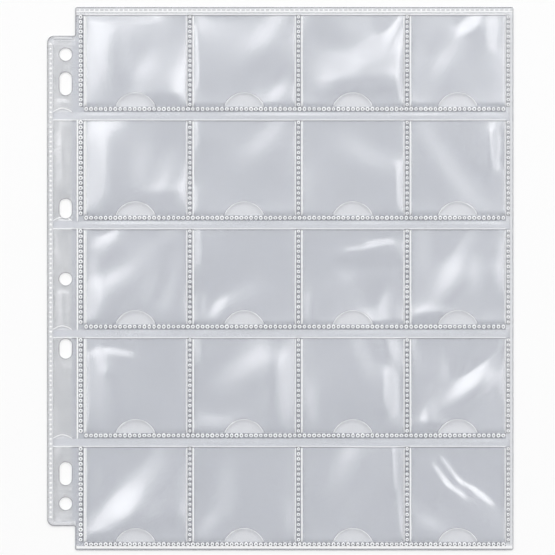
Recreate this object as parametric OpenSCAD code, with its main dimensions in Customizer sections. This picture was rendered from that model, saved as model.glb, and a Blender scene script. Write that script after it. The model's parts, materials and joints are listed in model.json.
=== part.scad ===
/* [Page] */
// Overall width, from the binding edge to the outer edge
page_w = 224; // [216:1:250]
// Overall height
page_h = 261; // [261:1:275]
// Thickness of each clear film
film_t = 0.2; // [0.15:0.05:0.3]
// Corner radius of the pocket panel
corner_r = 1; // [0.5:0.5:2]

/* [Binding strip] */
// Width of the punched strip beside the pockets
strip_w = 13.4; // [13:0.1:14]
// Drop from the top of the page to the top of the strip
strip_top_drop = 13.8; // [11:0.1:14]
// Rise from the bottom of the page to the bottom of the strip
strip_bottom_rise = 11.6; // [10:0.1:13]
// Radius of the strip's two outer corners
strip_corner_r = 3; // [1:0.5:4]
// Width of the crease that lets the page turn on the strip
fold_w = 0.9; // [0.6:0.1:0.9]

/* [Ring holes] */
// Distance of the hole centres from the binding edge
hole_inset = 8.8; // [8:0.1:8.9]
// Spacing of the three round ring holes
ring_pitch = 107.95; // [107:0.05:108.5]
// Offset of the whole hole row from mid height
ring_shift = -0.2; // [-0.5:0.1:0.5]
// Diameter of the round ring holes
ring_hole_d = 6.2; // [5:0.1:6.4]
// Width of the slots
slot_w = 6; // [5:0.1:6.4]
// Centre spacing of the two slots near the middle
inner_slot_pitch = 67.4; // [67:0.1:68]
// Length of the slots near the middle
inner_slot_l = 9.6; // [8:0.1:9.8]
// Centre spacing of the two slots near the ends
outer_slot_pitch = 187.4; // [186:0.1:188]
// Length of the slots near the ends
outer_slot_l = 11.2; // [9:0.1:12]

/* [Pockets] */
// Centre of the margin weld from the binding edge
margin_weld_x = 16.3; // [16:0.1:18]
// Spacing of the column welds; the outer column takes the rest of the width
column_pitch = 52.2; // [48:0.1:53]
// Centre of the first row weld below the top of the page
first_weld_drop = 49; // [48:0.5:49]
// Spacing of the row welds
row_pitch = 52.3; // [50:0.1:52.3]
// Drop from one row's weld to the mouth of the row below
mouth_drop = 5.2; // [4:0.1:7]
// Drop from the top of the page to the first row's mouth
first_mouth_drop = 3.6; // [3.2:0.1:5]
// Height that a pocket front stands off the back film
pocket_rise = 1.6; // [0.8:0.1:3]
// Radius of the thumb cut-outs
thumb_r = 10; // [6:0.5:12]
// Depth of a thumb cut-out's centre below its row weld
thumb_drop = 2.4; // [1.5:0.1:4]

/* [Welds] */
// Width of a weld band
weld_w = 2.4; // [2:0.1:3]
// Film left below each row weld
weld_tail = 0.3; // [0.1:0.1:0.6]
// Width of the sealed edge round the binding strip, where both films are melted into one
seal_w = 0.4; // [0.2:0.1:0.6]
// Centre of the binding edge weld from the edge
binding_weld_inset = 1.6; // [1.4:0.1:2]
// Centre of the outer weld from the edge
outer_weld_inset = 2.5; // [1.5:0.1:3]
// Centre of the top weld from the edge
top_weld_inset = 1.7; // [1.4:0.1:1.8]
// Diameter of a weld bead at its foot
bead_d = 1.8; // [1.2:0.1:2]
// Diameter of a weld bead at its crown
bead_crown_d = 1; // [0.6:0.1:1.1]
// Height of a weld bead above its band
bead_h = 0.25; // [0.15:0.05:0.4]
// Spacing of the weld beads
bead_pitch = 2.33; // [2.2:0.01:3]

/* [Hidden] */
$fn = 48;
rows = 5;
columns = 4;
overshoot = 1;

// Outline of the page, centred on the origin
page_left = -page_w / 2;
page_right = page_w / 2;
page_bottom = -page_h / 2;
page_top = page_h / 2;
panel_left = page_left + strip_w;
strip_right = panel_left - fold_w;
strip_top = page_top - strip_top_drop;
strip_bottom = page_bottom + strip_bottom_rise;
hole_x = page_left + hole_inset;

// Weld lines and the pockets between them
column_welds = [for (c = [0:columns - 1]) page_left + margin_weld_x + c * column_pitch];
outer_weld_centre = page_right - outer_weld_inset;
weld_xs = concat(column_welds, [outer_weld_centre]);
row_weld_ys = [for (r = [0:rows - 1]) page_top - first_weld_drop - r * row_pitch];
mouth_ys = [for (r = [0:rows - 1]) r == 0 ? page_top - first_mouth_drop : row_weld_ys[r - 1] - mouth_drop];
film_foot_ys = [for (y = row_weld_ys) y - weld_w / 2 - weld_tail];
binding_weld_w = binding_weld_inset + weld_w / 2;
top_weld_w = top_weld_inset + weld_w / 2;

// Pillow grid of a pocket front: shares of its width and of its depth
across = [0, 0.05, 0.12, 0.22, 0.36, 0.5, 0.64, 0.78, 0.88, 0.95, 1];
along = [0, 0.06, 0.15, 0.3, 0.55, 1];
pillow_power = 4;

pocket_names = [for (r = [1:rows]) for (c = [1:columns]) str("pocket_r", r, "_c", c)];

// Evenly spread bead centres between two ends
function spread(low, high) =
    let (count = floor((high - low) / bead_pitch), step = (high - low) / count)
    [for (i = [0:count - 1]) low + (i + 0.5) * step];

// Height of a pocket front above its flat seat, at shares u of its width and v of its depth
function pillow(u, v) =
    pocket_rise * (1 - pow(abs(2 * u - 1), pillow_power)) * (1 - pow(1 - v, pillow_power));

// Rectangle between two corners
module area(left, bottom, right, top) {
    translate([left, bottom])
        square([right - left, top - bottom]);
}

// Punched strip with its two outer corners rounded, drawn inwards by an inset, up to its right end
module strip_outline(inset = 0, right = strip_right) {
    radius = strip_corner_r - inset;
    left = page_left + inset;
    bottom = strip_bottom + inset;
    top = strip_top - inset;
    area(left + radius, bottom, right, top);
    area(left, bottom + radius, right, top - radius);
    for (y = [bottom + radius, top - radius])
        translate([left + radius, y])
            circle(r = radius);
}

// Pocket panel with rounded corners
module panel_outline() {
    area(panel_left + corner_r, page_bottom, page_right - corner_r, page_top);
    area(panel_left, page_bottom + corner_r, page_right, page_top - corner_r);
    for (x = [panel_left + corner_r, page_right - corner_r])
        for (y = [page_bottom + corner_r, page_top - corner_r])
            translate([x, y])
                circle(r = corner_r);
}

// Slot that runs along the strip
module ring_slot(y, length) {
    reach = (length - slot_w) / 2;
    translate([hole_x, y, -overshoot])
        for (side = [-1, 1])
            translate([0, side * reach, 0])
                cylinder(d = slot_w, h = 2 * film_t + 2 * overshoot);
    translate([hole_x - slot_w / 2, y - reach, -overshoot])
        cube([slot_w, 2 * reach, 2 * film_t + 2 * overshoot]);
}

// Three round holes and four slots for binder rings
module ring_holes() {
    for (i = [-1, 0, 1])
        translate([hole_x, ring_shift + i * ring_pitch, -overshoot])
            cylinder(d = ring_hole_d, h = 2 * film_t + 2 * overshoot);
    for (side = [-1, 1]) {
        ring_slot(side * inner_slot_pitch / 2, inner_slot_l);
        ring_slot(side * outer_slot_pitch / 2, outer_slot_l);
    }
}

// Pressed weld beads at the given centres, sunk a little into their band
module beads(centres) {
    sink = film_t / 2;
    slope = (bead_d - bead_crown_d) / bead_h;
    for (p = centres)
        translate([p[0], p[1], 2 * film_t - sink])
            cylinder(d1 = bead_d + slope * sink, d2 = bead_crown_d, h = bead_h + sink);
}

// Rear film of the binding strip, with its ring holes and the sealed edge that takes in both films
module binding_rear_film() {
    color("gainsboro", 0.6)
        difference() {
            linear_extrude(2 * film_t)
                strip_outline();
            translate([0, 0, film_t])
                linear_extrude(film_t + overshoot)
                    strip_outline(seal_w, strip_right + overshoot);
            ring_holes();
        }
}

// Crease of both films between the binding strip and the pocket panel, with a fillet in each corner
module binding_fold() {
    color("silver", 0.6)
        linear_extrude(2 * film_t) {
            area(strip_right, strip_bottom, panel_left, strip_top);
            for (end = [[strip_top, 1], [strip_bottom, -1]])
                translate([strip_right, end[0]])
                    scale([1, end[1]])
                        difference() {
                            square(fold_w);
                            translate([0, fold_w])
                                circle(r = fold_w);
                        }
        }
}

// Weld inside the sealed edge, round the three free sides of the binding strip
module binding_edge_weld() {
    bead_x = page_left + binding_weld_inset;
    color("lightsteelblue", 0.8) {
        translate([0, 0, film_t])
            linear_extrude(film_t)
                difference() {
                    strip_outline(seal_w);
                    area(page_left + binding_weld_w, strip_bottom + binding_weld_w,
                         strip_right + overshoot, strip_top - binding_weld_w);
                }
        beads([for (y = spread(strip_bottom + strip_corner_r, strip_top - strip_corner_r)) [bead_x, y]]);
    }
}

// One row's front film where it runs on into the binding strip
module binding_front_film(row) {
    top = min(mouth_ys[row], strip_top - binding_weld_w);
    bottom = max(film_foot_ys[row], strip_bottom + binding_weld_w);
    color("whitesmoke", 0.6)
        difference() {
            translate([page_left + binding_weld_w, bottom, film_t])
                cube([strip_right - page_left - binding_weld_w, top - bottom, film_t]);
            ring_holes();
        }
}

// Rear film of the pocket panel
module page_rear_film() {
    color("gainsboro", 0.6)
        linear_extrude(film_t)
            panel_outline();
}

// Weld between the binding strip and the first column, one length for each row
module margin_weld() {
    x = weld_xs[0];
    color("lightsteelblue", 0.8)
        for (row = [0:rows - 1]) {
            foot = row == rows - 1 ? page_bottom : film_foot_ys[row];
            translate([0, 0, film_t])
                linear_extrude(film_t)
                    intersection() {
                        panel_outline();
                        area(panel_left, foot, x + weld_w / 2, mouth_ys[row]);
                    }
            beads([for (y = spread(row_weld_ys[row] - weld_w / 2, mouth_ys[row])) [x, y]]);
        }
}

// Weld along the outer edge, beaded beside each row
module outer_weld() {
    color("lightsteelblue", 0.8) {
        translate([0, 0, film_t])
            linear_extrude(film_t)
                intersection() {
                    panel_outline();
                    area(outer_weld_centre - weld_w / 2, page_bottom, page_right, page_top - top_weld_w);
                }
        for (row = [0:rows - 1])
            beads([for (y = spread(row_weld_ys[row] - weld_w / 2, mouth_ys[row])) [outer_weld_centre, y]]);
    }
}

// Weld along the top edge
module top_weld() {
    bead_y = page_top - top_weld_inset;
    color("lightsteelblue", 0.8) {
        translate([0, 0, film_t])
            linear_extrude(film_t)
                intersection() {
                    panel_outline();
                    area(panel_left, page_top - top_weld_w, page_right, page_top);
                }
        beads([for (x = spread(panel_left + corner_r, page_right - corner_r)) [x, bead_y]]);
    }
}

// Weld between two columns, one length for each row
module column_weld(column) {
    x = weld_xs[column];
    color("lightsteelblue", 0.8)
        for (row = [0:rows - 1]) {
            foot = row_weld_ys[row] + weld_w / 2;
            translate([x - weld_w / 2, foot, film_t])
                cube([weld_w, mouth_ys[row] - foot, film_t]);
            beads([for (y = spread(foot, mouth_ys[row])) [x, y]]);
        }
}

// Weld that closes the bottom of one row of pockets
module row_weld(row) {
    left = weld_xs[0] + weld_w / 2;
    right = outer_weld_centre - weld_w / 2;
    foot = row == rows - 1 ? page_bottom : film_foot_ys[row];
    color("lightsteelblue", 0.8) {
        translate([left, foot, film_t])
            cube([right - left, row_weld_ys[row] + weld_w / 2 - foot, film_t]);
        beads([for (x = spread(left, right)) [x, row_weld_ys[row]]]);
    }
}

// Pillowed front film of one pocket: open at its mouth, with a thumb cut-out on its row weld
module pocket_front(row, column) {
    left = weld_xs[column] + weld_w / 2;
    width = weld_xs[column + 1] - weld_w / 2 - left;
    foot = row_weld_ys[row] + weld_w / 2;
    depth = mouth_ys[row] - foot;
    nx = len(across);
    ny = len(along);
    layer = nx * ny;
    points = [
        for (z = [film_t, 2 * film_t])
            for (v = along)
                for (u = across)
                    [left + u * width, foot + v * depth, z + pillow(u, v)]
    ];
    cells = [for (j = [0:ny - 2]) for (i = [0:nx - 2]) j * nx + i];
    under = [for (k = cells) each [[k, k + nx + 1, k + 1], [k, k + nx, k + nx + 1]]];
    over = [for (f = under) [f[2] + layer, f[1] + layer, f[0] + layer]];
    rim = concat(
        [for (i = [0:nx - 1]) i],
        [for (j = [1:ny - 1]) j * nx + nx - 1],
        [for (i = [nx - 2:-1:0]) (ny - 1) * nx + i],
        [for (j = [ny - 2:-1:1]) j * nx]
    );
    edge = [
        for (k = [0:len(rim) - 1])
            let (a = rim[k], b = rim[(k + 1) % len(rim)])
            each [[a, b, b + layer], [a, b + layer, a + layer]]
    ];
    color("whitesmoke", 0.6)
        difference() {
            polyhedron(points, concat(under, over, edge));
            translate([left + width / 2, row_weld_ys[row] - thumb_drop, -overshoot])
                cylinder(r = thumb_r, h = pocket_rise + 2 * film_t + 2 * overshoot);
        }
}

for (r = [1:rows])
    binding_front_film(r - 1);
binding_rear_film();
binding_edge_weld();
binding_fold();
page_rear_film();
margin_weld();
outer_weld();
top_weld();
for (c = [1:columns - 1])
    column_weld(c);
for (r = [1:rows])
    row_weld(r - 1);
for (r = [1:rows])
    for (c = [1:columns])
        pocket_front(r - 1, c - 1);
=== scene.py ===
import json
import math
import random
import bmesh
import bpy
import numpy as np
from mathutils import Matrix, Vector, noise


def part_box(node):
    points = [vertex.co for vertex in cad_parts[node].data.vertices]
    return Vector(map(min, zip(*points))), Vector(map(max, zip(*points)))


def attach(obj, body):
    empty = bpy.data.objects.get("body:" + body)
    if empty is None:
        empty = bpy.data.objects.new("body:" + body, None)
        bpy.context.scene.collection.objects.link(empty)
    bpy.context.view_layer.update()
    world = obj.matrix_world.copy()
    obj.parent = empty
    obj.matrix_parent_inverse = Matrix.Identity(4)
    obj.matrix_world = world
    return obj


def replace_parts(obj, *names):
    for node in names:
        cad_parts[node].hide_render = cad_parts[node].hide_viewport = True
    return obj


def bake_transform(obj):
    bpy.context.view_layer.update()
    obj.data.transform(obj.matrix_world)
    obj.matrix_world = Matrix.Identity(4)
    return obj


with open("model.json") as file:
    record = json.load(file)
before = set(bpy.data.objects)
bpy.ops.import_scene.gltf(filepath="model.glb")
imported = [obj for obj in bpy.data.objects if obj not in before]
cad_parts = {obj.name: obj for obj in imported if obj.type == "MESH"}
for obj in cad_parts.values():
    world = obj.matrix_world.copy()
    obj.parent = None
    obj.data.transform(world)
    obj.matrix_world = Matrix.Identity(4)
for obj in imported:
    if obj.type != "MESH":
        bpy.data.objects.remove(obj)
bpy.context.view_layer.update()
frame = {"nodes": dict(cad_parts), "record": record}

scene = bpy.context.scene
mm = 0.001
filmT = 0.2 * mm
rows, columns = range(1, 6), range(1, 5)
firstRow, lastRow = rows[0], rows[-1]
firstColumn, lastColumn = columns[0], columns[-1]
print("frame loaded with", len(frame["nodes"]), "nodes")

# camera straight above the page
cameraSet = {"place": (-1.39 * mm, 0.53 * mm, 1.4822), "lens": 200, "sensor": 36, "filmLayers": 32}
camera = bpy.data.objects.new("pageCamera", bpy.data.cameras.new("pageCamera"))
camera.data.lens = cameraSet["lens"]
camera.data.sensor_width = cameraSet["sensor"]
camera.location = cameraSet["place"]
scene.collection.objects.link(camera)
scene.camera = camera
scene.view_settings.view_transform = "Standard"
scene.cycles.transparent_max_bounces = cameraSet["filmLayers"]

# soft sky: dim straight overhead, a bright ring round it, weaker towards the foot of the page
skySet = {
    "ring": [(0, 0.28), (5, 0.32), (10, 0.60), (15, 1.05), (22, 1.7),
             (32, 2.1), (46, 1.6), (65, 0.95), (90, 0.65)],  # degrees from overhead, brightness
    "brightest": 4.0, "foot": 0.165, "head": 0.895, "fadeFrom": -0.32, "fadeTo": -0.05,
}
world = bpy.data.worlds.new("studioSky")
scene.world = world
world.use_nodes = True
sky = world.node_tree
sky.nodes.clear()


def addNode(tree, kind, **settings):
    node = tree.nodes.new(kind)
    for key, value in settings.items():
        setattr(node, key, value)
    return node


def mathNode(tree, operation, first, second=None):
    node = addNode(tree, "ShaderNodeMath", operation=operation)
    for socket, value in zip(node.inputs, (first, second)):
        if value is None:
            continue
        if isinstance(value, (int, float)):
            socket.default_value = value
        else:
            tree.links.new(value, socket)
    return node.outputs[0]


direction = addNode(sky, "ShaderNodeTexCoord")
split = addNode(sky, "ShaderNodeSeparateXYZ")
sky.links.new(direction.outputs["Generated"], split.inputs[0])
horizon = skySet["ring"][-1][0]
angle = mathNode(sky, "DIVIDE", mathNode(sky, "ARCCOSINE", split.outputs["Z"]), math.radians(horizon))
ringRamp = addNode(sky, "ShaderNodeValToRGB")
ringRamp.color_ramp.interpolation = "EASE"
points = ringRamp.color_ramp.elements
for i, (degrees, brightness) in enumerate(skySet["ring"]):
    point = points[i] if i < len(points) else points.new(degrees / horizon)
    point.position = degrees / horizon
    grey = brightness / skySet["brightest"]
    point.color = (grey, grey, grey, 1)
sky.links.new(angle, ringRamp.inputs[0])
slope = addNode(sky, "ShaderNodeMapRange", interpolation_type="SMOOTHSTEP")
slope.inputs["From Min"].default_value = skySet["fadeFrom"]
slope.inputs["From Max"].default_value = skySet["fadeTo"]
slope.inputs["To Min"].default_value = skySet["foot"]
slope.inputs["To Max"].default_value = skySet["head"]
sky.links.new(split.outputs["Y"], slope.inputs["Value"])
background = addNode(sky, "ShaderNodeBackground")
sky.links.new(ringRamp.outputs["Color"], background.inputs["Color"])
strength = mathNode(sky, "MULTIPLY", slope.outputs["Result"], skySet["brightest"])
sky.links.new(strength, background.inputs["Strength"])
skyOut = addNode(sky, "ShaderNodeOutputWorld")
sky.links.new(background.outputs[0], skyOut.inputs[0])

# two soft boxes beyond the head of the page, left and right
boxSet = {"reach": 3.0, "zenith": 26, "side": 1.25, "radiance": 1.98, "azimuths": (135, 45)}
for azimuth in boxSet["azimuths"]:
    lamp = bpy.data.lights.new("softBox%d" % azimuth, "AREA")
    lamp.size = boxSet["side"]
    lamp.energy = boxSet["radiance"] * math.pi * boxSet["side"] ** 2
    holder = bpy.data.objects.new(lamp.name, lamp)
    tilt, turn = math.radians(boxSet["zenith"]), math.radians(azimuth)
    towards = Vector((math.sin(tilt) * math.cos(turn), math.sin(tilt) * math.sin(turn), math.cos(tilt)))
    holder.location = towards * boxSet["reach"]
    holder.rotation_euler = towards.to_track_quat("Z", "Y").to_euler()
    scene.collection.objects.link(holder)

# what a finish has unless its own row says otherwise
plainFilm = {
    "waves": 60.0, "fine": 700.0, "tintBy": "Haze", "bumpBy": "Height", "bump": 0.5,
    "ior": 1.5, "specular": 0.5,
}

# node group with the soft unevenness that every film surface shares
rippleSet = {"waveDetail": 2.0, "cloud": 24.0, "cloudDetail": 1.0, "grainDetail": 3.0}
ripple = bpy.data.node_groups.new("filmRipple", "ShaderNodeTree")
for name, key in (("Scale", "waves"), ("Fine", "fine")):
    socket = ripple.interface.new_socket(name, in_out="INPUT", socket_type="NodeSocketFloat")
    socket.default_value = plainFilm[key]
for name in ("Height", "Haze", "Grain"):
    ripple.interface.new_socket(name, in_out="OUTPUT", socket_type="NodeSocketFloat")
rippleIn = addNode(ripple, "NodeGroupInput")
rippleOut = addNode(ripple, "NodeGroupOutput")
coords = addNode(ripple, "ShaderNodeTexCoord").outputs["Object"]


def noiseNode(tree, vector, scale, detail):
    node = addNode(tree, "ShaderNodeTexNoise")
    node.inputs["Detail"].default_value = detail
    tree.links.new(vector, node.inputs["Vector"])
    if isinstance(scale, (int, float)):
        node.inputs["Scale"].default_value = scale
    else:
        tree.links.new(scale, node.inputs["Scale"])
    return node.outputs["Fac"]


waves = noiseNode(ripple, coords, rippleIn.outputs["Scale"], rippleSet["waveDetail"])
cloud = noiseNode(ripple, coords, rippleSet["cloud"], rippleSet["cloudDetail"])
grain = noiseNode(ripple, coords, rippleIn.outputs["Fine"], rippleSet["grainDetail"])
ripple.links.new(waves, rippleOut.inputs["Height"])
ripple.links.new(cloud, rippleOut.inputs["Haze"])
ripple.links.new(grain, rippleOut.inputs["Grain"])
mixBy, mixShade, mixLight, mixOut = 0, 6, 7, 2  # sockets of a Mix node that blends colours


def plasticLook(name, ownLook):
    look = {**plainFilm, **ownLook}
    material = bpy.data.materials.new(name)
    material.use_nodes = True
    tree = material.node_tree
    shader = tree.nodes["Principled BSDF"]
    group = addNode(tree, "ShaderNodeGroup", node_tree=ripple)
    group.inputs["Scale"].default_value = look["waves"]
    group.inputs["Fine"].default_value = look["fine"]
    blend = addNode(tree, "ShaderNodeMix", data_type="RGBA")
    blend.inputs[mixShade].default_value = (*look["shade"], 1)
    blend.inputs[mixLight].default_value = (*look["light"], 1)
    tree.links.new(group.outputs[look["tintBy"]], blend.inputs[mixBy])
    tree.links.new(blend.outputs[mixOut], shader.inputs["Base Color"])
    polish = addNode(tree, "ShaderNodeMapRange")
    polish.inputs["To Min"].default_value, polish.inputs["To Max"].default_value = look["rough"]
    tree.links.new(group.outputs["Grain"], polish.inputs["Value"])
    tree.links.new(polish.outputs["Result"], shader.inputs["Roughness"])
    bump = addNode(tree, "ShaderNodeBump")
    bump.inputs["Strength"].default_value = look["bump"]
    bump.inputs["Distance"].default_value = look["depth"]
    tree.links.new(group.outputs[look["bumpBy"]], bump.inputs["Height"])
    tree.links.new(bump.outputs[0], shader.inputs["Normal"])
    shader.inputs["Alpha"].default_value = look["alpha"]
    shader.inputs["IOR"].default_value = look["ior"]
    shader.inputs["Specular IOR Level"].default_value = look["specular"]
    material.surface_render_method = "BLENDED"
    return material


looks = {
    "clearFilm": {"shade": (0.46, 0.51, 0.61), "light": (0.56, 0.60, 0.71), "rough": (0.21, 0.24),
                  "alpha": 0.19, "ior": 3.0, "specular": 1.0, "depth": 0.09 * mm},
    "backFilm": {"shade": (0.56, 0.61, 0.74), "light": (0.67, 0.71, 0.83), "rough": (0.21, 0.24),
                 "alpha": 0.21, "ior": 3.2, "specular": 1.0, "depth": 0.09 * mm},
    "bandFilm": {"shade": (0.44, 0.49, 0.63), "light": (0.55, 0.60, 0.72), "rough": (0.21, 0.24),
                 "alpha": 0.25, "ior": 3.0, "specular": 1.0, "depth": 0.09 * mm},
    # cloudy tab film: tone from dark to white by noise, partly a painted mottled sheen
    "tabFilmSheen": {"shade": (0.22, 0.24, 0.26), "light": (1.0, 1.0, 1.0), "rough": (0.18, 0.26),
                "alpha": 0.16, "ior": 2.9, "specular": 1.0, "waves": 140.0, "tintBy": "Height",
                "depth": 0.5 * mm},
    # near-white painted highlights on lips, flanges, tab edges, thumb rim flanks and dome beads, and a
    # weaker fading copy
    "paintedGleam": {"shade": (0.95, 0.96, 0.98), "light": (1.0, 1.0, 1.0), "rough": (0.15, 0.3),
                "alpha": 0.92, "fine": 300.0, "tintBy": "Grain", "depth": 0.05 * mm},
    "paintedGleamFade": {"shade": (0.93, 0.95, 0.98), "light": (1.0, 1.0, 1.0), "rough": (0.15, 0.3),
                "alpha": 0.45, "fine": 300.0, "tintBy": "Grain", "depth": 0.05 * mm},
    # dark weld bands: painted shade between and beside the beads
    "pressedWeldShade": {"shade": (0.03, 0.035, 0.045), "light": (0.28, 0.30, 0.34), "rough": (0.15, 0.35),
                    "alpha": 0.16, "ior": 2.0, "specular": 0.8, "fine": 1400.0, "tintBy": "Grain",
                    "bumpBy": "Grain", "depth": 0.05 * mm},
    # pale weld flanges and welts, partly a painted sheen
    "paleWeldSheen": {"shade": (0.74, 0.76, 0.79), "light": (0.97, 0.97, 0.99), "rough": (0.15, 0.3),
                 "alpha": 0.70, "fine": 1400.0, "tintBy": "Grain", "bumpBy": "Grain", "depth": 0.05 * mm},
    # near-white painted highlight on ring beads and the top welt; the dark bead eyes below are painted
    # shade
    "weldGleam": {"shade": (0.93, 0.94, 0.96), "light": (0.99, 0.99, 1.0), "rough": (0.12, 0.3),
                 "alpha": 0.95, "fine": 900.0, "depth": 0.02 * mm},
    "beadEyeShade": {"shade": (0.12, 0.13, 0.15), "light": (0.32, 0.33, 0.37), "rough": (0.1, 0.2),
                "alpha": 0.7, "fine": 900.0, "depth": 0.02 * mm},
    # near-white painted highlight for cut edges
    "cutEdgeGleam": {"shade": (0.93, 0.94, 0.95), "light": (0.99, 0.99, 0.99), "rough": (0.2, 0.4),
                "alpha": 0.9, "fine": 900.0, "depth": 0.03 * mm},
    # painted highlight along the pocket mouths and the crowns of the thumb rims
    "edgeGleam": {"shade": (0.90, 0.91, 0.93), "light": (0.98, 0.98, 0.99), "rough": (0.2, 0.4),
                  "alpha": 0.70, "fine": 300.0, "depth": 0.03 * mm},
    "edgeShade": {"shade": (0.14, 0.15, 0.17), "light": (0.26, 0.27, 0.30), "rough": (0.15, 0.3),
                  "alpha": 0.26, "ior": 1.8, "specular": 0.8, "depth": 0.03 * mm},
    "outlineShade": {"shade": (0.20, 0.21, 0.23), "light": (0.36, 0.37, 0.40), "rough": (0.15, 0.3),
                     "alpha": 0.34, "depth": 0.03 * mm},
    "darkLine": {"shade": (0.03, 0.03, 0.04), "light": (0.12, 0.13, 0.15), "rough": (0.15, 0.3),
                 "alpha": 0.4, "depth": 0.03 * mm},
    "softShade": {"shade": (0.16, 0.17, 0.20), "light": (0.28, 0.29, 0.33), "rough": (0.15, 0.3),
                  "alpha": 0.12, "ior": 1.8, "specular": 0.8, "depth": 0.03 * mm},
}
finish = {name: plasticLook(name, look) for name, look in looks.items()}
print("finishes made")

sharpEdge = 0.6  # radians: edges that turn less are shaded smooth
leastGap = 0.01 * mm  # grid lines nearer than this are one line


def makePiece(bm, name, finishes):
    for edge in bm.edges:
        edge.smooth = len(edge.link_faces) != 2 or edge.calc_face_angle(0) < sharpEdge
    for face in bm.faces:
        face.smooth = True
    mesh = bpy.data.meshes.new(name)
    bm.to_mesh(mesh)
    bm.free()
    for key in finishes:
        mesh.materials.append(finish[key])
    piece = bpy.data.objects.new(name, mesh)
    scene.collection.objects.link(piece)
    return piece


# grid lines from low to high, fine at both ends and coarse between
def ticks(low, high, fine, coarse, growth=1.4):
    steps, step, used = [], fine, 0.0
    while step < coarse and used + step < (high - low) / 2 - coarse / 2:
        steps.append(step)
        used += step
        step *= growth
    middle = high - low - 2 * used
    count = max(1, round(middle / coarse))
    lines = [low]
    for gap in steps + [middle / count] * count + steps[::-1]:
        lines.append(lines[-1] + gap)
    return lines


def chain(*runs):
    lines = list(runs[0])
    for run in runs[1:]:
        lines += [line for line in run if line > lines[-1] + leastGap]
    return lines


def lineGrid(xs, ys):
    bm = bmesh.new()
    made = bmesh.ops.create_grid(bm, x_segments=len(xs) - 1, y_segments=len(ys) - 1, size=1.0)
    low, high = min(v.co.x for v in made["verts"]), max(v.co.x for v in made["verts"])
    for v in made["verts"]:
        i = round((v.co.x - low) / (high - low) * (len(xs) - 1))
        j = round((v.co.y - low) / (high - low) * (len(ys) - 1))
        v.co = (xs[i], ys[j], 0)
    return bm


def thicken(bm, height):
    grown = bmesh.ops.extrude_face_region(bm, geom=bm.faces[:], use_keep_orig=True)
    upper = [v for v in grown["geom"] if isinstance(v, bmesh.types.BMVert)]
    bmesh.ops.translate(bm, vec=(0, 0, height), verts=upper)
    bmesh.ops.recalc_face_normals(bm, faces=bm.faces[:])


def smooth(t):
    t = min(1.0, max(0.0, t))
    return t * t * (3 - 2 * t)


def applyBoolean(piece, cutter, operation):
    cut = piece.modifiers.new("cut", "BOOLEAN")
    cut.operation, cut.object, cut.solver = operation, cutter, "MANIFOLD"
    graph = bpy.context.evaluated_depsgraph_get()
    shaped = bpy.data.meshes.new_from_object(piece.evaluated_get(graph))
    piece.modifiers.clear()
    plain = piece.data
    piece.data = shaped
    shaped.name = piece.name
    bpy.data.meshes.remove(plain)
    bpy.data.objects.remove(cutter)


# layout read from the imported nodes
layoutSet = {"weld": 2.4 * mm, "bindingRim": 2.8 * mm, "foldReach": 0.7 * mm, "foldSteps": 8}
panelLow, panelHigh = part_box("page_rear_film")
tabLow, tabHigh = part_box("binding_rear_film")
pocketBox = {(r, c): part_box("pocket_r%d_c%d" % (r, c)) for r in rows for c in columns}
rowBand = {r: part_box("row_weld_%d" % r) for r in rows}
weldW = layoutSet["weld"]
rowLine = {r: rowBand[r][1].y - weldW / 2 for r in rows}
mouthLine = {r: pocketBox[r, firstColumn][1].y for r in rows}
filmLeft = tabLow.x + layoutSet["bindingRim"]
filmRight = pocketBox[firstRow, lastColumn][1].x
foldStart, foldEnd = tabHigh.x - layoutSet["foldReach"], panelLow.x + layoutSet["foldReach"]
foldSteps = layoutSet["foldSteps"]
foldLines = [foldStart + (foldEnd - foldStart) * i / foldSteps for i in range(foldSteps + 1)]
holes = []
for mount in frame["record"]["mounts"]:
    x, y = mount["pos_m"][:2]
    if mount["kind"] == "bore":
        holes.append((x, y, mount["dims"]["r_mm"] * mm, 0.0))
    elif mount["kind"] == "bolt_pattern":
        radius = mount["dims"]["hole_r_mm"] * mm
        reach = mount["dims"]["slot_length_mm"] * mm / 2 - radius
        for side in (-1, 1):
            holes.append((x, y + side * mount["dims"]["spacing_y_mm"] * mm / 2, radius, reach))

# cutting tools, each from its foot upwards through the film
toolSet = {
    # the punch and thumb tools carry a near-white painted highlight finish
    "punch": {"foot": -2 * mm, "height": 8 * mm, "finish": "cutEdgeGleam"},
    "outline": {"foot": -5 * mm, "height": 12 * mm, "finish": "clearFilm"},
    "thumb": {"foot": -1 * mm, "height": 8 * mm, "finish": "cutEdgeGleam", "segments": 96},
}


def cutTool(bm, name):
    bmesh.ops.translate(bm, vec=(0, 0, toolSet[name]["foot"]), verts=bm.verts[:])
    thicken(bm, toolSet[name]["height"])
    return makePiece(bm, name + "Tool", [toolSet[name]["finish"]])


# circle drawn out into a slot; its points at mid height go with the upper half
def stadium(bm, x, y, radius, reach, segments=40, nearZero=1e-9):
    made = bmesh.ops.create_circle(bm, cap_ends=True, radius=radius, segments=segments)
    for v in made["verts"]:
        v.co.y += -reach if v.co.y < -nearZero else reach
        v.co += Vector((x, y, 0))
    return made["verts"]


def punchTool():
    bm = bmesh.new()
    for x, y, radius, reach in holes:
        stadium(bm, x, y, radius, reach)
    return cutTool(bm, "punch")


# page outline: panel and tab in one run, with its corners rounded
cornerSet = {"tab": 3.0 * mm, "notch": 0.9 * mm, "panel": 1.0 * mm, "segments": 6}


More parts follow.
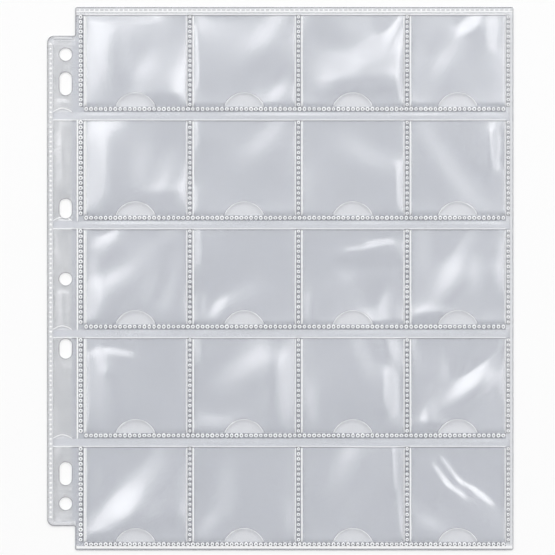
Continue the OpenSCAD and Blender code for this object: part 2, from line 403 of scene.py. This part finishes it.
def outlineFace(bm):
    corners = [
        ("tab", tabLow.x, tabLow.y), ("notch", panelLow.x, tabLow.y), ("panel", panelLow.x, panelLow.y),
        ("panel", panelHigh.x, panelLow.y), ("panel", panelHigh.x, panelHigh.y),
        ("panel", panelLow.x, panelHigh.y), ("notch", panelLow.x, tabHigh.y), ("tab", tabLow.x, tabHigh.y),
    ]
    turns = [(bm.verts.new((x, y, 0)), cornerSet[kind]) for kind, x, y in corners]
    bm.faces.new([vert for vert, radius in turns])
    for vert, radius in turns:
        bmesh.ops.bevel(bm, geom=[vert], affect="VERTICES", offset=radius,
                        segments=cornerSet["segments"], profile=0.5, material=-1)


# rear film: one sheet under everything, a little wavy between the rows
rearSet = {
    "margin": 1.0 * mm,  # cut off again by the outline
    "tabStep": (1.5 * mm, 3 * mm), "panelStep": (2 * mm, 3 * mm),
    "gapStep": (0.6 * mm, 0.6 * mm), "pocketStep": (4 * mm, 6 * mm),
    "gapSwell": 0.18 * mm, "bindingFade": 6 * mm, "outerFade": 4 * mm,
    "swellMean": 0.6, "swellSwing": 0.8, "swellScale": 45, "rowShift": 7.3, "slice": 0.4,
    "finishes": ["backFilm", "bandFilm"],
}
gapSpan = {r: (mouthLine[r + 1], rowBand[r][0].y) for r in rows[:-1]}


def rearHeight(x, y):
    lift = 0.0
    for r, (low, high) in gapSpan.items():
        if low < y < high:
            t = (y - low) / (high - low)
            inside = smooth((x - panelLow.x) / rearSet["bindingFade"])
            inside *= smooth((filmRight - x) / rearSet["outerFade"])
            spot = Vector((x * rearSet["swellScale"], r * rearSet["rowShift"], rearSet["slice"]))
            wave = rearSet["swellMean"] + rearSet["swellSwing"] * noise.noise(spot)
            lift += rearSet["gapSwell"] * wave * inside * math.sin(math.pi * t) ** 2
    return max(0.0, lift)


margin = rearSet["margin"]
rearXs = chain(ticks(tabLow.x - margin, foldStart, *rearSet["tabStep"]), foldLines,
               ticks(foldEnd, panelHigh.x + margin, *rearSet["panelStep"]))
rearYs = [panelLow.y - margin]
for r in reversed(rows):
    if r in gapSpan:
        rearYs = chain(rearYs, ticks(*gapSpan[r], *rearSet["gapStep"]))
    rearYs = chain(rearYs, ticks(rowBand[r][0].y, mouthLine[r], *rearSet["pocketStep"]))
rearYs = chain(rearYs, [panelHigh.y + margin])
bm = lineGrid(rearXs, rearYs)
for face in bm.faces:
    middle = face.calc_center_median().y
    inGap = any(low < middle < high for low, high in gapSpan.values())
    face.material_index = rearSet["finishes"].index("bandFilm" if inGap else "backFilm")
for v in bm.verts:
    v.co.z = rearHeight(v.co.x, v.co.y)
thicken(bm, filmT)
rearFilm = makePiece(bm, "rearFilm", rearSet["finishes"])
bm = bmesh.new()
outlineFace(bm)
applyBoolean(rearFilm, cutTool(bm, "outline"), "INTERSECT")
applyBoolean(rearFilm, punchTool(), "DIFFERENCE")
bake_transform(rearFilm)
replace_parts(rearFilm, "binding_rear_film", "page_rear_film", "binding_fold")
print("rear film done")

# soft creases of each pocket front, in mm from its centre:
# from x, y to x, y, then width, tilt in degrees and the side it faces
creases = {
    "r1_c1": [(-20, 16, -19, -4, 16, 10, "W"), (-8, 16, 2, 2, 30, 8, "NW"), (-20, 20, 8, 20, 3, 7, "N"),
              (6, -4, 14, -9, 14, 6, "NW"), (2, -20, 20, -19, 5, 9, "S")],
    "r1_c2": [(-24, 16, -23, -12, 3, 8, "W"), (-14, 18, -2, 8, 20, 6, "NW"), (16, 20, 10, 10, 12, 4, "NW"),
              (15, -16, 18, -13, 10, 8, "NW")],
    "r1_c3": [(21, 19, 17, 13, 7, 9, "NW"), (17, 8, 3, 3, 10, 6, "NW"), (-17, -3, -12, -16, 11, 3, "W"),
              (24, 4, 23, -18, 3, 9, "E"), (-8, -16, 18, -14, 10, 9, "S"), (-16, 15, -6, 9, 10, 3, "S")],
    "r1_c4": [(8, 19, 2, 16, 6, 9, "NW"), (0, 7, -8, 0, 13, 3, "NW"), (-9, -2, -14, -18, 13, 4, "NW"),
              (17, 20, 16, 8, 5, 5, "E")],
    "r2_c1": [(-21, 16, -21, -14, 12, 9, "W"), (-14, 18, -12, -8, 18, 7, "NW"),
              (18, 4, 12, -10, 15, 7, "NW"), (6, -18, 21, -17, 9, 7, "S")],
    "r2_c2": [(15, 18, 3, 8, 13, 4, "NW"), (-24, 20, -23, 12, 4, 7, "W"), (-24, -12, -23, -20, 4, 6, "W")],
    "r2_c3": [(-3, 11, 13, 3, 12, 3, "NE"), (23, 0, 23, -18, 4, 8, "E"), (-22, -6, -20, -16, 8, 4, "W")],
    "r2_c4": [(-16, 18, 5, -12, 12, 3, "NE"), (18, 17, 18, 2, 4, 15, "E"), (2, 15, 13, 3, 9, 3, "S")],
    "r3_c1": [(-21, 14, -14, 19, 12, 9, "NW"), (12, 17, -3, 3, 14, 4, "NW"),
              (-9, -1, -17, -10, 18, 5, "NW"), (-22, 4, -22, -18, 8, 11, "NW"),
              (-17, -4, -17, -18, 12, 8, "NW"), (22, 8, 15, -12, 11, 7, "NW")],
    "r3_c2": [(-23, 20, -22, 8, 4, 8, "W"), (-23, -10, -23, -20, 3, 8, "W"),
              (-15, -18, -12, -13, 8, 9, "NW"), (-2, -8, 4, -6, 10, 4, "NW")],
    "r3_c3": [(8, 16, 18, 17, 3, 9, "N"), (-3, 13, 9, 14, 3, 5, "N"), (-2, 7, 18, 9, 7, 5, "S"),
              (13, -11, 16, -19, 8, 12, "NW"), (-22, -10, -22, -20, 5, 7, "W"),
              (10, 8, 8, 0, 10, 4, "NW"), (-10, -14, 8, -6, 12, 4, "S"), (20, 12, 20, -6, 7, 3, "W")],
    "r3_c4": [(3, 18, -1, 6, 14, 5, "NW"), (-4, 2, -10, -9, 16, 5, "NW"), (-14, -15, -6, -16, 6, 3, "N"),
              (-2, -16, 16, -6, 12, 6, "S"), (15, 12, 15, -2, 9, 4, "W"), (-18, -20, -4, -20, 4, 12, "S")],
    "r4_c1": [(-13, 17, -3, 15, 3, 8, "N"), (-19, 16, -15, 8, 4, 8, "NW"), (-24, 14, -24, -18, 3, 8, "W"),
              (-18, 0, -18, -16, 16, 7, "W")],
    "r4_c2": [(-23, 20, -22, 14, 5, 9, "W"), (8, 16, -13, 1, 15, 5, "NW"), (21, 8, 20, -14, 11, 11, "E"),
              (-20, -16, -8, -17, 10, 9, "N")],
    "r4_c3": [(19, 4, 19, -10, 7, 15, "E"), (19, 21, 21, 15, 6, 10, "E"), (4, 18, 11, -2, 12, 5, "NE"),
              (-21, -6, -18, -20, 9, 7, "W")],
    "r4_c4": [(18, 16, 8, 5, 13, 7, "NW"), (8, 5, -3, -6, 12, 8, "NW"), (-16, -13, -16, -18, 5, 8, "W"),
              (-14, 18, -12, 10, 9, 8, "NW"), (2, -14, 16, -4, 12, 5, "S"), (20, 8, 19, -4, 6, 4, "W"),
              (-20, -20, -8, -20, 4, 10, "S")],
    "r5_c1": [(8, 12, -4, -1, 18, 5, "NW"), (-7, -5, -20, -16, 14, 7, "NW"), (-24, 14, -24, -4, 3, 6, "W"),
              (18, -8, 15, -16, 9, 6, "NW"), (-4, -19, 20, -12, 10, 9, "S"),
              (-20, -20, -10, -20, 3, 10, "S")],
    "r5_c2": [(-8, 8, -9, -8, 14, 5, "W"), (-18, -13, -20, -19, 10, 8, "NW"), (22, -8, 22, -19, 8, 5, "E")],
    "r5_c3": [(-3, 18, -14, 2, 12, 5, "NW"), (22, 20, 23, 2, 5, 20, "E"), (24, -2, 24, -18, 3, 10, "E"),
              (-3, -6, -4, -18, 18, 6, "NW")],
    "r5_c4": [(-11, 14, -5, 5, 3, 7, "NE"), (-5, 5, 3, -1, 3, 6, "NE"), (-7, 17, 1, 7, 3, 7, "NE"),
              (1, 7, 8, 3, 3, 6, "NE"), (8, 3, 16, -4, 3, 6, "NE"), (2, 2, 18, -9, 12, 4, "NE"),
              (-16, 18, -4, 19, 6, 3, "W"), (-18, -11, -10, -15, 12, 9, "N")],
}
facings = {"W": (-1, 0), "E": (1, 0), "N": (0, 1), "S": (0, -1), "NW": (-0.7, 0.7), "NE": (0.7, 0.7)}
frontSet = {
    # rise beside the welds, then the crown and the uneven drift of a pocket front
    "lift": 0.01 * mm, "shoulder": 0.4 * mm, "sideRun": 0.2 * mm, "footRun": 0.4 * mm,
    "pillow": 0.25 * mm, "sidePower": 8, "footPower": 2, "footSwell": 0.85 * mm, "footReach": 8 * mm,
    "drift": 0.10 * mm, "driftScale": 42.0, "driftShift": (0.31, 0.17), "touch": 0.1 * mm,
    # grid of the settled film, and how strongly its creases count
    "across": 66, "up": 60, "gain": 1.85, "edgeLines": (0.2 * mm, 0.45 * mm, 0.75 * mm),
    "weldStep": (0.8 * mm, 0.8 * mm),
    # length in the binding strip
    "tabSwell": 0.22 * mm, "tabWave": 0.42 * mm, "tabScale": (170, 60), "tabShift": 0.7,
    "tabStep": (0.8 * mm, 1.0 * mm), "tabMargin": 2.0 * mm,
    "holeFade": 3 * mm, "holeFlat": 0.5, "arch": 1.6 * mm, "archFade": 7 * mm,
    # pale lips of painted highlight, and thumb cut-outs
    "lip": 0.5 * mm, "lipRise": 0.2 * mm, "lipClear": 2.3,
    "firstGleam": 1.3 * mm, "leftGleam": 0.75 * mm, "rightGleam": 0.45 * mm,
    "thumbRadius": 10 * mm, "thumbDrop": 2.4 * mm,
    "finishes": ["clearFilm", "edgeGleam", "edgeShade", "paintedGleam", "tabFilmSheen", "paintedGleamFade"],
}


# slope that one crease asks for, full along its line and fading over its width
def creaseMask(mark, x, y):
    x0, y0, x1, y1, width, tilt = mark
    run = math.hypot(x1 - x0, y1 - y0)
    s = np.clip(((x - x0) * (x1 - x0) + (y - y0) * (y1 - y0)) / run ** 2, 0, 1)
    away = np.hypot(x - x0 - s * (x1 - x0), y - y0 - s * (y1 - y0))
    t = np.clip(1 - away / width, 0, 1)
    return t * t * (3 - 2 * t) * -math.tan(math.radians(tilt)) * frontSet["gain"]


def slopeMatrix(count, step):
    return (np.eye(count + 1, count) - np.eye(count + 1, count, -1)) / step


# film height whose slopes come nearest the creases, welded on three sides and free at the mouth
def settledFilm(r, c):
    low, high = pocketBox[r, c]
    across, up = frontSet["across"], frontSet["up"]
    width, height = (high.x - low.x) / mm, (high.y - low.y) / mm
    stepX, stepY = width / (across + 1), height / up
    nodeX = stepX * np.arange(1, across + 1)[:, None] - width / 2
    nodeY = stepY * np.arange(1, up + 1)[None, :] - height / 2
    gapX = stepX * (np.arange(across + 1)[:, None] + 0.5) - width / 2
    gapY = nodeY - stepY / 2
    wantX, wantY = np.zeros((across + 1, up)), np.zeros((across, up))
    for *mark, facing in creases["r%d_c%d" % (r, c)]:
        east, north = facings[facing]
        wantX += east * creaseMask(mark, gapX, nodeY)
        wantY += north * creaseMask(mark, nodeX, gapY)
    slopeX, slopeY = slopeMatrix(across, stepX), slopeMatrix(up, stepY)[:up]
    valueX, baseX = np.linalg.eigh(slopeX.T @ slopeX)
    valueY, baseY = np.linalg.eigh(slopeY.T @ slopeY)
    pull = baseX.T @ (slopeX.T @ wantX + wantY @ slopeY) @ baseY
    film = baseX @ (pull / (valueX[:, None] + valueY[None, :])) @ baseY.T
    return np.pad(film, ((1, 1), (1, 0))) * mm


settled = {(r, c): settledFilm(r, c) for r, c in pocketBox}


# height of the settled film between its nodes, u across and v up the pocket
def settledHeight(r, c, u, v):
    film = settled[r, c]
    a, b = u * (film.shape[0] - 1), v * (film.shape[1] - 1)
    i, j = min(int(a), film.shape[0] - 2), min(int(b), film.shape[1] - 2)
    a, b = a - i, b - j
    near = film[i, j] * (1 - a) + film[i + 1, j] * a
    far = film[i, j + 1] * (1 - a) + film[i + 1, j + 1] * a
    return near * (1 - b) + far * b


# never below zero, with a soft turn where the film touches what is under it
def settle(lift):
    return (lift + math.hypot(lift, frontSet["touch"])) / 2


def tabHeight(r, x, y):
    if x >= foldStart:
        return 0.0
    swell = math.sin(math.pi * (x - filmLeft) / (foldStart - filmLeft)) ** 2
    scaleX, scaleY = frontSet["tabScale"]
    wave = noise.noise(Vector((x * scaleX, y * scaleY, r * frontSet["tabShift"])))
    for holeX, holeY, radius, reach in holes:
        gap = math.hypot(x - holeX, max(0.0, abs(y - holeY) - reach)) - radius
        swell *= smooth(gap / frontSet["holeFade"] - frontSet["holeFlat"])
    return settle(frontSet["tabSwell"] + frontSet["tabWave"] * wave) * swell


def frontHeight(r, x, y):
    for c in columns:
        low, high = pocketBox[r, c]
        if low.x < x < high.x:
            break
    else:
        return tabHeight(r, x, y)
    if y <= low.y:
        return 0.0
    shoulder = 1 - math.exp((low.x - x) / frontSet["sideRun"])
    shoulder *= 1 - math.exp((x - high.x) / frontSet["sideRun"])
    shoulder *= 1 - math.exp((low.y - y) / frontSet["footRun"])
    u, v = (x - low.x) / (high.x - low.x), min(1.0, (y - low.y) / (high.y - low.y))
    rowShift, columnShift = frontSet["driftShift"]
    drift = noise.noise(Vector((x, y, r * rowShift + c * columnShift)) * frontSet["driftScale"])
    lift = (frontSet["shoulder"] + frontSet["drift"] * (1 + drift)) * shoulder
    lift += frontSet["footSwell"] * shoulder * math.exp((low.y - y) / frontSet["footReach"])
    sideCrown = 1 - (2 * u - 1) ** frontSet["sidePower"]
    footCrown = 1 - (1 - v) ** frontSet["footPower"]
    lift += frontSet["pillow"] * sideCrown * footCrown
    return settle(lift + settledHeight(r, c, u, v))


def thumbCentre(r, c):
    low, high = pocketBox[r, c]
    return (low.x + high.x) / 2, rowLine[r] - frontSet["thumbDrop"]


def thumbTool(r):
    bm = bmesh.new()
    for c in columns:
        made = bmesh.ops.create_circle(bm, cap_ends=True, radius=frontSet["thumbRadius"],
                                       segments=toolSet["thumb"]["segments"])
        bmesh.ops.translate(bm, vec=(*thumbCentre(r, c), 0), verts=made["verts"])
    bmesh.ops.bisect_plane(bm, geom=bm.verts[:] + bm.edges[:] + bm.faces[:], clear_inner=True,
                           plane_co=(0, rowBand[r][1].y, 0), plane_no=(0, 1, 0))
    return cutTool(bm, "thumb")


def nodeLines(low, high, count):
    edges = frontSet["edgeLines"]
    lines = [low + (high - low) * i / count for i in range(count + 1)]
    return sorted(lines + [low + e for e in edges] + [high - e for e in edges])


# finish at one spot of a strip: cloudy in the binding strip, partly a painted sheen, with pale lips of
# painted highlight along the mouth and the welds and a painted shade line under the mouth's highlight
def stripFinish(r, spot, foot, mouth):
    lip = frontSet["lip"]
    if spot.x < foldStart:
        return "tabFilmSheen" if foot + lip < spot.y < mouth - lip else "paintedGleam"
    if spot.y > mouth - lip:
        return "edgeGleam"
    if spot.y > mouth - 2 * lip:
        return "edgeShade"
    for c in columns:
        low, high = pocketBox[r, c]
        if spot.y > low.y and low.x < spot.x < high.x:
            fromLeft, fromRight = spot.x - low.x, high.x - spot.x
            if fromLeft < frontSet["leftGleam"] or fromRight < frontSet["rightGleam"]:
                return "paintedGleam"
            if c == firstColumn and fromLeft < frontSet["firstGleam"]:
                return "paintedGleamFade"
    return "clearFilm"


def frontStrip(r):
    mouth, foot, lip = mouthLine[r] + frontSet["lipRise"], rowBand[r][0].y, frontSet["lip"]
    seat = pocketBox[r, firstColumn][0].y
    xs = chain(ticks(filmLeft, foldStart, *frontSet["tabStep"]), foldLines)
    for c in columns:
        low, high = pocketBox[r, c]
        xs = chain(xs, [low.x - weldW, low.x - weldW / 2], nodeLines(low.x, high.x, frontSet["across"] + 1))
    upper = nodeLines(seat, mouthLine[r], frontSet["up"])
    upper = [y for y in upper if y < mouth - frontSet["lipClear"] * lip]
    ys = chain([foot, foot + lip], ticks(foot + lip, seat, *frontSet["weldStep"]), upper,
               [mouth - 2 * lip, mouth - lip, mouth])
    bm = lineGrid(xs, ys)
    for face in bm.faces:
        name = stripFinish(r, face.calc_center_median(), foot, mouth)
        face.material_index = frontSet["finishes"].index(name)
    tabTop, tabFoot = tabHigh.y - frontSet["tabMargin"], tabLow.y + frontSet["tabMargin"]
    beyond = [face for face in bm.faces if face.calc_center_median().x < panelLow.x
              and not tabFoot < face.calc_center_median().y < tabTop]
    bmesh.ops.delete(bm, geom=beyond, context="FACES")
    for v in bm.verts:
        x, y = v.co.x, v.co.y
        v.co.z = filmT + frontSet["lift"] + frontHeight(r, x, y)
        if x < foldStart and r < lastRow:  # the lower edge arches up in the binding strip
            t = (x - filmLeft) / (foldStart - filmLeft)
            fade = 1 - smooth((y - foot) / frontSet["archFade"])
            v.co.y += frontSet["arch"] * math.sin(math.pi * t) * fade
    thicken(bm, filmT)
    strip = makePiece(bm, "frontStrip%d" % r, frontSet["finishes"])
    applyBoolean(strip, thumbTool(r), "DIFFERENCE")
    applyBoolean(strip, punchTool(), "DIFFERENCE")
    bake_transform(strip)
    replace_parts(strip, "binding_front_film_%d" % r, *["pocket_r%d_c%d" % (r, c) for c in columns])


for r in rows:
    frontStrip(r)
print("front strips done")

# welds: pressed bands darkened with painted shade, dimpled rings of painted highlight with painted shade in
# their eyes along the rows and columns, domes of painted highlight along the top and binding edges
weldSet = {
    "onFilm": (0.41 * mm, 0.45 * mm), "onRear": (0.2 * mm, 0.45 * mm),  # foot and top of a band
    "seal": 0.5 * mm, "half": 1.0 * mm, "lastHalf": 0.5 * mm, "outerHalf": 0.8 * mm, "line": 0.35 * mm,
    "gleam": 1.0 * mm, "marginShift": 0.3 * mm, "flange": (2.2 * mm, 1.5 * mm), "columnScale": 0.80,
    "corner": 3 * mm,  # the bands beside the outline stop this far from its corners
    "finishes": ["pressedWeldShade", "paleWeldSheen", "softShade", "weldGleam", "beadEyeShade", "darkLine", "paintedGleam"],
}
beadSet = {
    "dome": [(0.90, 0.0), (0.80, 0.14), (0.55, 0.26), (0.27, 0.31), (0.0, 0.32)],
    "ring": [(0.99, 0.0), (0.89, 0.13), (0.66, 0.21), (0.40, 0.19), (0.29, 0.11), (0.0, 0.08)],
    # ring beads: walls of painted highlight, eyes of painted shade; dome beads all painted highlight
    "wall": {"dome": "paintedGleam", "ring": "weldGleam"}, "eye": {"dome": "paintedGleam", "ring": "beadEyeShade"},
    "segments": 10, "eyeRadius": 0.34 * mm, "merge": 0.005 * mm, "pitch": 2.33 * mm, "sizes": (0.84, 1.1),
}
onFilm, onRear = weldSet["onFilm"], weldSet["onRear"]
seal, half, corner = weldSet["seal"], weldSet["half"], weldSet["corner"]
beadDice = random.Random(11)


def beadShape(kind):
    bm = bmesh.new()
    verts = [bm.verts.new((x * mm, 0, z * mm)) for x, z in beadSet[kind]]
    edges = [bm.edges.new(pair) for pair in zip(verts, verts[1:])]
    bmesh.ops.spin(bm, geom=verts + edges, cent=(0, 0, 0), axis=(0, 0, 1), angle=math.tau,
                   steps=beadSet["segments"], use_merge=True, use_duplicate=False)
    bmesh.ops.remove_doubles(bm, verts=bm.verts[:], dist=beadSet["merge"])
    bmesh.ops.holes_fill(bm, edges=[e for e in bm.edges if e.is_boundary], sides=0)
    bmesh.ops.recalc_face_normals(bm, faces=bm.faces[:])
    for face in bm.faces:
        eye = face.calc_center_median().xy.length < beadSet["eyeRadius"] and face.normal.z > 0
        name = beadSet["eye" if eye else "wall"][kind]
        face.material_index = weldSet["finishes"].index(name)
    mesh = bpy.data.meshes.new(kind + "Bead")
    bm.to_mesh(mesh)
    bm.free()
    return mesh


beadMesh = {kind: beadShape(kind) for kind in ("dome", "ring")}


# middles of as many beads as fit between low and high
def spread(low, high, roundOff=1e-6):
    count = math.floor((high - low) / beadSet["pitch"] + roundOff)
    step = (high - low) / count
    return [low + (i + 0.5) * step for i in range(count)]


def weldPiece(name, bands, beads, kind, body, scale=1.0):
    bm = bmesh.new()
    for x0, y0, x1, y1, (z0, z1), bandFinish in bands:
        made = bmesh.ops.create_cube(bm, size=1.0)
        for v in made["verts"]:
            v.co = (x0 if v.co.x < 0 else x1, y0 if v.co.y < 0 else y1, z0 if v.co.z < 0 else z1)
        for face in {face for v in made["verts"] for face in v.link_faces}:
            face.material_index = weldSet["finishes"].index(bandFinish)
    for spot in beads:
        first = len(bm.verts)
        bm.from_mesh(beadMesh[kind])
        bm.verts.ensure_lookup_table()
        size = [scale * beadDice.uniform(*beadSet["sizes"]) for axis in range(3)]
        bmesh.ops.scale(bm, vec=size, verts=bm.verts[first:])
        bmesh.ops.translate(bm, vec=spot, verts=bm.verts[first:])
    piece = makePiece(bm, name, weldSet["finishes"])
    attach(piece, body)
    return piece


# row welds; the last one also closes the foot of the page, with a painted highlight line and a pale flange,
# partly a painted sheen
for r in rows:
    low, high = rowBand[r]
    y = rowLine[r]
    beads = [(x, y, onFilm[1]) for x in spread(low.x, high.x)]
    under = half if r < lastRow else weldSet["lastHalf"]
    lineFoot = y - under - weldSet["line"]
    lineFinish = "softShade" if r < lastRow else "darkLine"
    bands = [(low.x, y - under, high.x, y + half, onFilm, "pressedWeldShade"),
             (low.x, lineFoot, high.x, y - under, onFilm, lineFinish)]
    if r == lastRow:
        left, right, gleamFoot = panelLow.x + seal, panelHigh.x - seal, lineFoot - weldSet["gleam"]
        bands.append((left, gleamFoot, right, lineFoot, onRear, "paintedGleam"))
        bands.append((left, panelLow.y + seal, right, gleamFoot, onRear, "paleWeldSheen"))
    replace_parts(weldPiece("rowWeld%d" % r, bands, beads, "ring", "panel"), "row_weld_%d" % r)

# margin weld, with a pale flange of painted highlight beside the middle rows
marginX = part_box("margin_weld")[1].x - weldW / 2
bands, beads = [], []
for r in rows:
    foot, mouth = rowLine[r] + half, mouthLine[r]
    edge = marginX + half - weldSet["marginShift"]
    bands.append((marginX - half, foot, edge - weldSet["line"], mouth, onFilm, "pressedWeldShade"))
    beads += [(marginX - weldSet["marginShift"], y, onFilm[1]) for y in spread(foot, mouth)]
    bands.append((edge - weldSet["line"], foot, edge, mouth, onFilm, "darkLine"))
    if firstRow < r < lastRow:
        left, right = (marginX - reach for reach in weldSet["flange"])
        bands.append((left, rowBand[r][0].y, right, mouth, onFilm, "paintedGleam"))
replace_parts(weldPiece("marginWeld", bands, beads, "ring", "panel"), "margin_weld")

# column welds
for k in columns[:-1]:
    low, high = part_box("column_weld_%d" % k)
    x = (low.x + high.x) / 2
    bands, beads = [], []
    for r in rows:
        foot = rowLine[r] + half
        bands.append((x - half, foot, x + half, mouthLine[r], onFilm, "pressedWeldShade"))
        beads += [(x, y, onFilm[1]) for y in spread(foot, mouthLine[r])]
    piece = weldPiece("columnWeld%d" % k, bands, beads, "ring", "panel", weldSet["columnScale"])
    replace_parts(piece, "column_weld_%d" % k)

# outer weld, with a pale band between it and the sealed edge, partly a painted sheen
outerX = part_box("outer_weld")[0].x + weldW / 2
right = outerX + weldSet["outerHalf"]
bands, beads = [], []
for r in rows:
    foot = rowLine[r] + half
    bands.append((outerX - half, foot, right, mouthLine[r], onRear, "pressedWeldShade"))
    beads += [(outerX, y, onRear[1]) for y in spread(foot, mouthLine[r])]
bands.append((right, panelLow.y + corner, panelHigh.x - seal, mouthLine[firstRow], onRear, "paleWeldSheen"))
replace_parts(weldPiece("outerWeld", bands, beads, "ring", "panel", weldSet["columnScale"]), "outer_weld")

# top weld, with a white welt of painted highlight under it; its pale band is partly a painted sheen and its
# domes are painted highlight
topSet = {"inset": 1.0 * mm, "beads": 1.5 * mm, "scale": 0.5, "welt": (0.3 * mm, 1.0 * mm)}
low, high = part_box("top_weld")
left, right = low.x + seal, high.x - seal
weltFoot, weltTop = (low.y + rise for rise in topSet["welt"])
spots = spread(low.x + topSet["inset"], high.x - topSet["inset"])
beads = [(x, high.y - topSet["beads"], onRear[1]) for x in spots]
bands = [(left, weltTop, right, high.y - seal, onRear, "paleWeldSheen"),
         (left, weltFoot, right, weltTop, onRear, "weldGleam")]
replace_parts(weldPiece("topWeld", bands, beads, "dome", "panel", topSet["scale"]), "top_weld")

# rim of the binding strip, between its rounded corners: pale welts, partly a painted sheen, and domes of
# painted highlight
edgeSet = {"welt": 1.0 * mm, "scale": 0.72}
edgeX = filmLeft - weldW / 2
welt = edgeSet["welt"]
lowY, highY = tabLow.y + corner, tabHigh.y - corner
footY, topY = tabLow.y + seal, tabHigh.y - seal
beads = [(edgeX, y, onRear[1]) for y in spread(lowY, highY)]
bands = [(tabLow.x + seal, lowY, filmLeft, highY, onRear, "paleWeldSheen"),
         (tabLow.x + corner, topY - welt, foldStart, topY, onRear, "paleWeldSheen"),
         (tabLow.x + corner, footY, foldStart, footY + welt, onRear, "paleWeldSheen")]
piece = weldPiece("bindingEdgeWeld", bands, beads, "dome", "binding", edgeSet["scale"])
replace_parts(piece, "binding_edge_weld")
print("welds done")

# sealed edge round the whole outline, a dark line of painted shade, fainter along the foot and the outer
# side
sealedSet = {"height": 0.25 * mm, "finishes": ["outlineShade", "softShade"]}
bm = bmesh.new()
outlineFace(bm)
bmesh.ops.inset_region(bm, faces=bm.faces[:], thickness=seal, use_boundary=True, use_even_offset=True)
window = max(bm.faces, key=lambda face: face.calc_area())
bmesh.ops.delete(bm, geom=[window], context="FACES")
for x in foldLines:
    everything = bm.verts[:] + bm.edges[:] + bm.faces[:]
    bmesh.ops.bisect_plane(bm, geom=everything, plane_co=(x, 0, 0), plane_no=(1, 0, 0))
for face in bm.faces:
    middle = face.calc_center_median()
    faint = middle.y < panelLow.y + seal or middle.x > panelHigh.x - seal
    face.material_index = sealedSet["finishes"].index("softShade" if faint else "outlineShade")
bmesh.ops.translate(bm, vec=(0, 0, filmT), verts=bm.verts[:])
thicken(bm, sealedSet["height"])
sealedEdgeShade = makePiece(bm, "sealedEdgeShade", sealedSet["finishes"])
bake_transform(sealedEdgeShade)

# painted shade rings round the punched holes
holeShadeSet = {"width": 0.35 * mm, "foot": 0.41 * mm, "height": 0.06 * mm}
bm = bmesh.new()
for x, y, radius, reach in holes:
    verts = stadium(bm, x, y, radius + holeShadeSet["width"], reach)
    face = verts[0].link_faces[0]
    bmesh.ops.inset_region(bm, faces=[face], thickness=holeShadeSet["width"], use_boundary=True,
                           use_even_offset=True)
    bmesh.ops.delete(bm, geom=[face], context="FACES")
bmesh.ops.translate(bm, vec=(0, 0, holeShadeSet["foot"]), verts=bm.verts[:])
thicken(bm, holeShadeSet["height"])
holeShadeRims = makePiece(bm, "holeShadeRims", ["edgeShade"])
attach(holeShadeRims, "binding")

# cut rims of the thumb cut-outs painted as highlights, brightest at their flanks, with a faint line of
# painted shade round them
thumbSet = {
    "rim": 0.3 * mm, "shade": 0.3 * mm, "flank": 0.45, "thick": 0.06 * mm, "lift": 0.02 * mm,
    "segments": 40, "finishes": ["edgeGleam", "softShade", "paintedGleam"],
}
for r in rows:
    bm = bmesh.new()
    for c in columns:
        x, y = thumbCentre(r, c)
        radius = frontSet["thumbRadius"]
        rimRadius = radius + thumbSet["rim"]
        sweep = math.acos((rowBand[r][1].y - y) / radius)
        start = Vector((math.sin(sweep), math.cos(sweep), 0))
        rings = [(radius, rimRadius, "edgeGleam", "paintedGleam"),
                 (rimRadius, rimRadius + thumbSet["shade"], "softShade", "softShade")]
        for inner, outer, crownFinish, flankFinish in rings:
            first = len(bm.faces)
            verts = [bm.verts.new(Vector((x, y, 0)) + start * d) for d in (inner, outer)]
            edge = bm.edges.new(verts)
            bmesh.ops.spin(bm, geom=verts + [edge], cent=(x, y, 0), axis=(0, 0, 1), angle=2 * sweep,
                           steps=thumbSet["segments"], use_duplicate=False)
            bm.faces.ensure_lookup_table()
            for face in bm.faces[first:]:
                flank = abs(face.calc_center_median().x - x) > thumbSet["flank"] * radius
                face.material_index = thumbSet["finishes"].index(flankFinish if flank else crownFinish)
    for v in bm.verts:
        v.co.z = 2 * filmT + thumbSet["lift"] + frontHeight(r, v.co.x, v.co.y)
    thicken(bm, thumbSet["thick"])
    rims = makePiece(bm, "thumbRimGleams%d" % r, thumbSet["finishes"])
    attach(rims, "panel")
print("edges done")

# plain white table
tableSet = {"reach": 10.0, "drop": 0.3 * mm, "white": 0.94, "rough": 0.9, "specular": 0.0}
bm = bmesh.new()
bmesh.ops.create_grid(bm, x_segments=1, y_segments=1, size=tableSet["reach"])
bmesh.ops.translate(bm, vec=(0, 0, -tableSet["drop"]), verts=bm.verts[:])
mesh = bpy.data.meshes.new("table")
bm.to_mesh(mesh)
bm.free()
table = bpy.data.objects.new("table", mesh)
scene.collection.objects.link(table)
tableLook = bpy.data.materials.new("tableWhite")
tableLook.use_nodes = True
tableShader = tableLook.node_tree.nodes["Principled BSDF"]
white = tableSet["white"]
tableShader.inputs["Base Color"].default_value = (white, white, white, 1)
tableShader.inputs["Roughness"].default_value = tableSet["rough"]
tableShader.inputs["Specular IOR Level"].default_value = tableSet["specular"]
mesh.materials.append(tableLook)

print("scene done")
